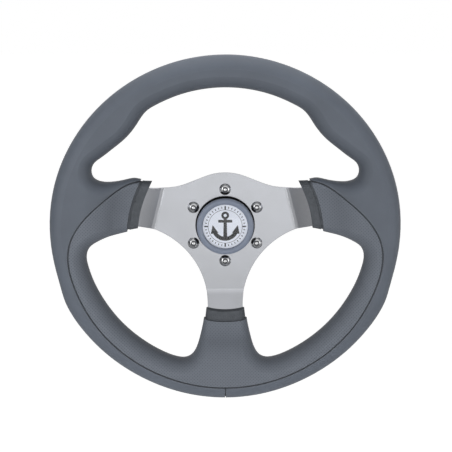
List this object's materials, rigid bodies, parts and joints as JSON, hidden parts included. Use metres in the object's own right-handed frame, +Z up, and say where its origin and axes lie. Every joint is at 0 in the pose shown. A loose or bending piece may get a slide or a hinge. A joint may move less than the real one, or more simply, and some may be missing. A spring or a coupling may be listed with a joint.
{
  "type": "boat steering wheel",
  "caption": "Dished boat steering wheel with a padded, covered grip, thumb rests, a bent steel spoke plate, a tapered shaft hub and a domed centre cap.",
  "frame": {"origin": "centre of the hub's rear face, on the wheel's axis, where the helm shaft enters", "axes": "+Y along the axis towards the helm shaft (the driver looks along +Y), +Z up with the single lower spoke pointing down, +X to the driver's right"},
  "size_m": [0.3498, 0.0825, 0.35],
  "materials": {
    "ring_steel": "plain rod, hidden in the grip",
    "plate_stainless": "satin, nearly polished",
    "core_foam": "dark grey moulded foam, matt skin",
    "grained_cover": "blue-grey synthetic leather, fine grain",
    "perforated_cover": "blue-grey synthetic leather, perforated",
    "hub_aluminium": "cast, dark anodised",
    "screw_stainless": "polished stainless",
    "cap_plastic": "black, smooth",
    "seal_rubber": "black",
    "bezel_plastic": "blue-grey, moulded, smooth",
    "badge_plastic": "pale silver print",
    "clear_lens": "clear, polished"
  },
  "bodies": {
    "root": {"rim_ring": "ring_steel", "spoke_plate": "plate_stainless", "grip_core": "core_foam", "cover_smooth": "grained_cover", "cover_perforated": "perforated_cover", "hub": "hub_aluminium", "plate_screws": "screw_stainless", "cap_body": "cap_plastic", "cap_o_ring": "seal_rubber", "cap_bezel": "bezel_plastic", "badge_disc": "badge_plastic", "badge_lens": "clear_lens"}
  },
  "joints": []
}
